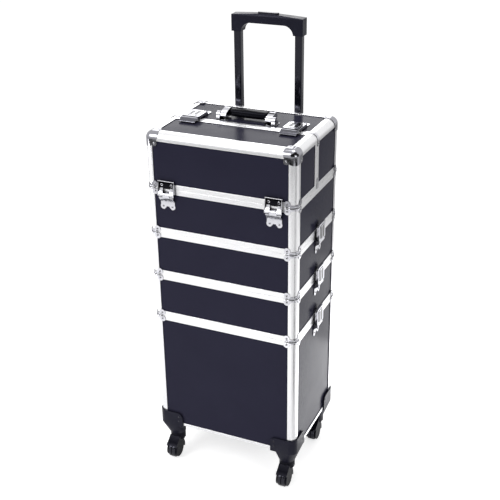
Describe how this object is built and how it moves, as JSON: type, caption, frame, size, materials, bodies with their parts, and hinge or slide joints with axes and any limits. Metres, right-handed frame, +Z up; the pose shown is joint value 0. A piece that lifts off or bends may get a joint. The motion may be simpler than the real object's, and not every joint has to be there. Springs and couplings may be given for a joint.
{
  "type": "rolling makeup case",
  "caption": "Stacking makeup case with aluminium edges, draw latches, flap-top case, carry handle, telescopic trolley handle and swivel casters.",
  "frame": {"origin": "on the floor, under the middle of the outer box", "axes": "+Z up, -Y towards the front flap, +X to the right seen from the front"},
  "size_m": [0.3598, 0.2918, 1.03],
  "materials": {
    "panel": "fine textured black laminate with a soft gloss",
    "edge_profile": "satin drawn aluminium",
    "plated": "bright nickel plate on pressed steel",
    "leg_tube": "gloss black",
    "moulding": "fine moulded black",
    "grip_pad": "soft black",
    "button": "gloss black",
    "rod": "drawn steel",
    "wheel": "matt black"
  },
  "bodies": {
    "base": {"base_shell": "panel", "base_frame": "edge_profile", "base_corners": "plated", "base_latch_plates": "plated", "caster_brackets": "moulding", "trolley_outer_tubes": "leg_tube", "trolley_mounts": "moulding"},
    "tray_lower": {"tray_lower_shell": "panel", "tray_lower_frame": "edge_profile", "tray_lower_corners": "plated", "tray_lower_keepers": "plated", "tray_lower_latch_plates": "plated"},
    "tray_upper": {"tray_upper_shell": "panel", "tray_upper_frame": "edge_profile", "tray_upper_corners": "plated", "tray_upper_keepers": "plated", "tray_upper_latch_plates": "plated"},
    "top_case": {"top_tray_shell": "panel", "top_tray_frame": "edge_profile", "top_tray_corners": "plated", "top_tray_keepers": "plated", "hinge_lower_leaves": "plated", "hinge_pins": "plated", "rear_hood_shell": "panel", "rear_hood_frame": "edge_profile", "rear_hood_corners": "plated", "top_latch_plates": "plated", "carry_brackets": "plated"},
    "front_flap": {"front_flap_shell": "panel", "front_flap_frame": "edge_profile", "front_flap_corners": "plated", "hinge_upper_leaves": "plated", "rear_hood_keepers": "plated"},
    "carry_handle": {"carry_bail": "plated", "carry_grip": "grip_pad"},
    "trolley_mid": {"trolley_mid_tubes": "leg_tube"},
    "trolley_inner": {"trolley_inner_tubes": "leg_tube", "trolley_grip": "moulding"},
    "release": {"release_button": "button", "release_rods": "rod"},
    "top_latch_left": {"top_latch_lever_left": "plated"},
    "side_latch_left_low": {"side_latch_lever_left_low": "plated"},
    "side_latch_left_mid": {"side_latch_lever_left_mid": "plated"},
    "side_latch_left_high": {"side_latch_lever_left_high": "plated"},
    "top_latch_right": {"top_latch_lever_right": "plated"},
    "side_latch_right_low": {"side_latch_lever_right_low": "plated"},
    "side_latch_right_mid": {"side_latch_lever_right_mid": "plated"},
    "side_latch_right_high": {"side_latch_lever_right_high": "plated"},
    "caster_fl": {"caster_fork_fl": "moulding"},
    "wheel_fl": {"caster_wheel_fl": "wheel"},
    "caster_fr": {"caster_fork_fr": "moulding"},
    "wheel_fr": {"caster_wheel_fr": "wheel"},
    "caster_rl": {"caster_fork_rl": "moulding"},
    "wheel_rl": {"caster_wheel_rl": "wheel"},
    "caster_rr": {"caster_fork_rr": "moulding"},
    "wheel_rr": {"caster_wheel_rr": "wheel"}
  },
  "joints": [
    {"name": "tray_lower_lift", "type": "slide", "parent": "base", "child": "tray_lower", "axis": [0, 0, 1], "range_m": [0, 0.12]},
    {"name": "tray_upper_lift", "type": "slide", "parent": "tray_lower", "child": "tray_upper", "axis": [0, 0, 1], "range_m": [0, 0.12]},
    {"name": "top_case_lift", "type": "slide", "parent": "tray_upper", "child": "top_case", "axis": [0, 0, 1], "range_m": [0, 0.12]},
    {"name": "front_flap_hinge", "type": "hinge", "parent": "top_case", "child": "front_flap", "pos_m": [0, -0.1387, 0.6917], "axis": [1, 0, 0], "range_deg": [0, 95]},
    {"name": "top_latch_left_swing", "type": "hinge", "parent": "top_case", "child": "top_latch_left", "pos_m": [-0.115, 0.0156, 0.8288], "axis": [-1, 0, 0], "range_deg": [0, 110]},
    {"name": "top_latch_right_swing", "type": "hinge", "parent": "top_case", "child": "top_latch_right", "pos_m": [0.115, 0.0156, 0.8288], "axis": [-1, 0, 0], "range_deg": [0, 110]},
    {"name": "side_latch_left_low_swing", "type": "hinge", "parent": "base", "child": "side_latch_left_low", "pos_m": [-0.1748, -0.0019, 0.373], "axis": [0, -1, 0], "range_deg": [0, 110]},
    {"name": "side_latch_right_low_swing", "type": "hinge", "parent": "base", "child": "side_latch_right_low", "pos_m": [0.1748, -0.0019, 0.373], "axis": [0, 1, 0], "range_deg": [0, 110]},
    {"name": "side_latch_left_mid_swing", "type": "hinge", "parent": "tray_lower", "child": "side_latch_left_mid", "pos_m": [-0.1748, -0.0019, 0.4764], "axis": [0, -1, 0], "range_deg": [0, 110]},
    {"name": "side_latch_right_mid_swing", "type": "hinge", "parent": "tray_lower", "child": "side_latch_right_mid", "pos_m": [0.1748, -0.0019, 0.4764], "axis": [0, 1, 0], "range_deg": [0, 110]},
    {"name": "side_latch_left_high_swing", "type": "hinge", "parent": "tray_upper", "child": "side_latch_left_high", "pos_m": [-0.1748, -0.0019, 0.5798], "axis": [0, -1, 0], "range_deg": [0, 110]},
    {"name": "side_latch_right_high_swing", "type": "hinge", "parent": "tray_upper", "child": "side_latch_right_high", "pos_m": [0.1748, -0.0019, 0.5798], "axis": [0, 1, 0], "range_deg": [0, 110]},
    {"name": "carry_handle_swing", "type": "hinge", "parent": "top_case", "child": "carry_handle", "pos_m": [0, 0.0066, 0.833], "axis": [1, 0, 0], "range_deg": [0, 100]},
    {"name": "trolley_mid_slide", "type": "slide", "parent": "base", "child": "trolley_mid", "axis": [0, 0, 1], "range_m": [-0.2645, 0]},
    {"name": "trolley_inner_slide", "type": "slide", "parent": "trolley_mid", "child": "trolley_inner", "axis": [0, 0, 1], "range_m": [-0.2695, 0]},
    {"name": "release_button_press", "type": "slide", "parent": "trolley_inner", "child": "release", "axis": [0, 0, -1], "range_m": [0, 0.003], "stiffness_N_per_m": 900, "springref_m": -0.004},
    {"name": "caster_fl_swivel", "type": "hinge", "parent": "base", "child": "caster_fl", "pos_m": [-0.142, -0.1059, 0], "axis": [0, 0, 1], "continuous": true},
    {"name": "wheel_fl_spin", "type": "hinge", "parent": "caster_fl", "child": "wheel_fl", "pos_m": [-0.142, -0.1249, 0.021], "axis": [1, 0, 0], "continuous": true},
    {"name": "caster_fr_swivel", "type": "hinge", "parent": "base", "child": "caster_fr", "pos_m": [0.142, -0.1059, 0], "axis": [0, 0, 1], "continuous": true},
    {"name": "wheel_fr_spin", "type": "hinge", "parent": "caster_fr", "child": "wheel_fr", "pos_m": [0.142, -0.1249, 0.021], "axis": [1, 0, 0], "continuous": true},
    {"name": "caster_rl_swivel", "type": "hinge", "parent": "base", "child": "caster_rl", "pos_m": [-0.142, 0.0881, 0], "axis": [0, 0, 1], "continuous": true},
    {"name": "wheel_rl_spin", "type": "hinge", "parent": "caster_rl", "child": "wheel_rl", "pos_m": [-0.142, 0.0691, 0.021], "axis": [1, 0, 0], "continuous": true},
    {"name": "caster_rr_swivel", "type": "hinge", "parent": "base", "child": "caster_rr", "pos_m": [0.142, 0.0881, 0], "axis": [0, 0, 1], "continuous": true},
    {"name": "wheel_rr_spin", "type": "hinge", "parent": "caster_rr", "child": "wheel_rr", "pos_m": [0.142, 0.0691, 0.021], "axis": [1, 0, 0], "continuous": true}
  ]
}
